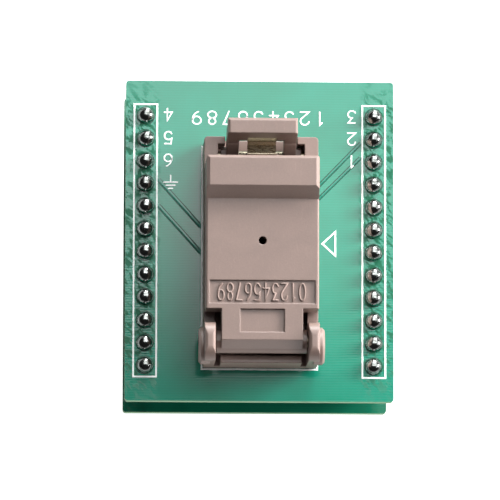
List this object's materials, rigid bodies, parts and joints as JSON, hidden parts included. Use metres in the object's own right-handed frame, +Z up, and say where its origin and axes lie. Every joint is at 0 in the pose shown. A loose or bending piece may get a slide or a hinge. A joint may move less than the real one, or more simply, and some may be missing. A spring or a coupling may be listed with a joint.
{
  "type": "clamshell test socket on a DIP adapter",
  "caption": "Clamshell zero-insertion-force test socket for a six-lead 2 x 2 mm chip, on a two-board adapter with 24 DIP pins.",
  "frame": {"origin": "middle of the board outline, at the tips of the DIP pins", "axes": "+Z up out of the lid, +Y towards the latch, +X across the pin rows"},
  "size_m": [0.0298, 0.0358, 0.0308],
  "materials": {
    "board": "gloss solder mask",
    "header_plastic": "moulded, matt",
    "gold_plate": "thin gold plating",
    "tin_plate": "tin plated",
    "solder": "bright solder",
    "socket_plastic": "moulded, fine sandy",
    "insert_plastic": "moulded, matt",
    "steel": "stainless"
  },
  "bodies": {
    "root": {"lower_board": "board", "dip_strip_left": "header_plastic", "dip_strip_right": "header_plastic", "dip_pins_left": "gold_plate", "dip_pins_right": "gold_plate", "dip_solder_left": "solder", "dip_solder_right": "solder", "socket_strip_left": "header_plastic", "socket_strip_right": "header_plastic", "strip_contacts_left": "tin_plate", "strip_contacts_right": "tin_plate", "strip_solder_left": "solder", "strip_solder_right": "solder", "header_body_left": "header_plastic", "header_body_right": "header_plastic", "header_pins_left": "gold_plate", "header_pins_right": "gold_plate", "pin_solder_left": "solder", "pin_solder_right": "solder", "top_board": "board", "socket_base": "socket_plastic", "locator_plate": "insert_plastic", "contacts_left": "gold_plate", "contacts_right": "gold_plate", "ground_probe": "gold_plate", "socket_solder": "solder", "package_guide": "insert_plastic", "hinge_pin": "steel", "hinge_spring": "steel", "latch_pin": "steel", "latch_spring": "steel"},
    "lid": {"lid": "socket_plastic", "pad_retainer": "steel", "pad_springs": "steel"},
    "pad": {"pressure_pad": "insert_plastic"},
    "latch": {"latch": "socket_plastic", "latch_catch": "steel"}
  },
  "joints": [
    {"name": "lid_hinge", "type": "hinge", "parent": "root", "child": "lid", "pos_m": [0, -0.0119, 0.02684], "axis": [1, 0, 0], "range_deg": [0, 95]},
    {"name": "pad_slide", "type": "slide", "parent": "lid", "child": "pad", "axis": [0, 0, 1], "range_m": [0, 0.0004], "stiffness_N_per_m": 400, "springref_m": -0.0003, "deforming": ["pad_springs"]},
    {"name": "latch_tilt", "type": "hinge", "parent": "root", "child": "latch", "pos_m": [0, 0.00915, 0.02374], "axis": [-1, 0, 0], "range_deg": [0, 20], "stiffness_Nm_per_rad": 0.005, "springref_deg": -17.19}
  ]
}
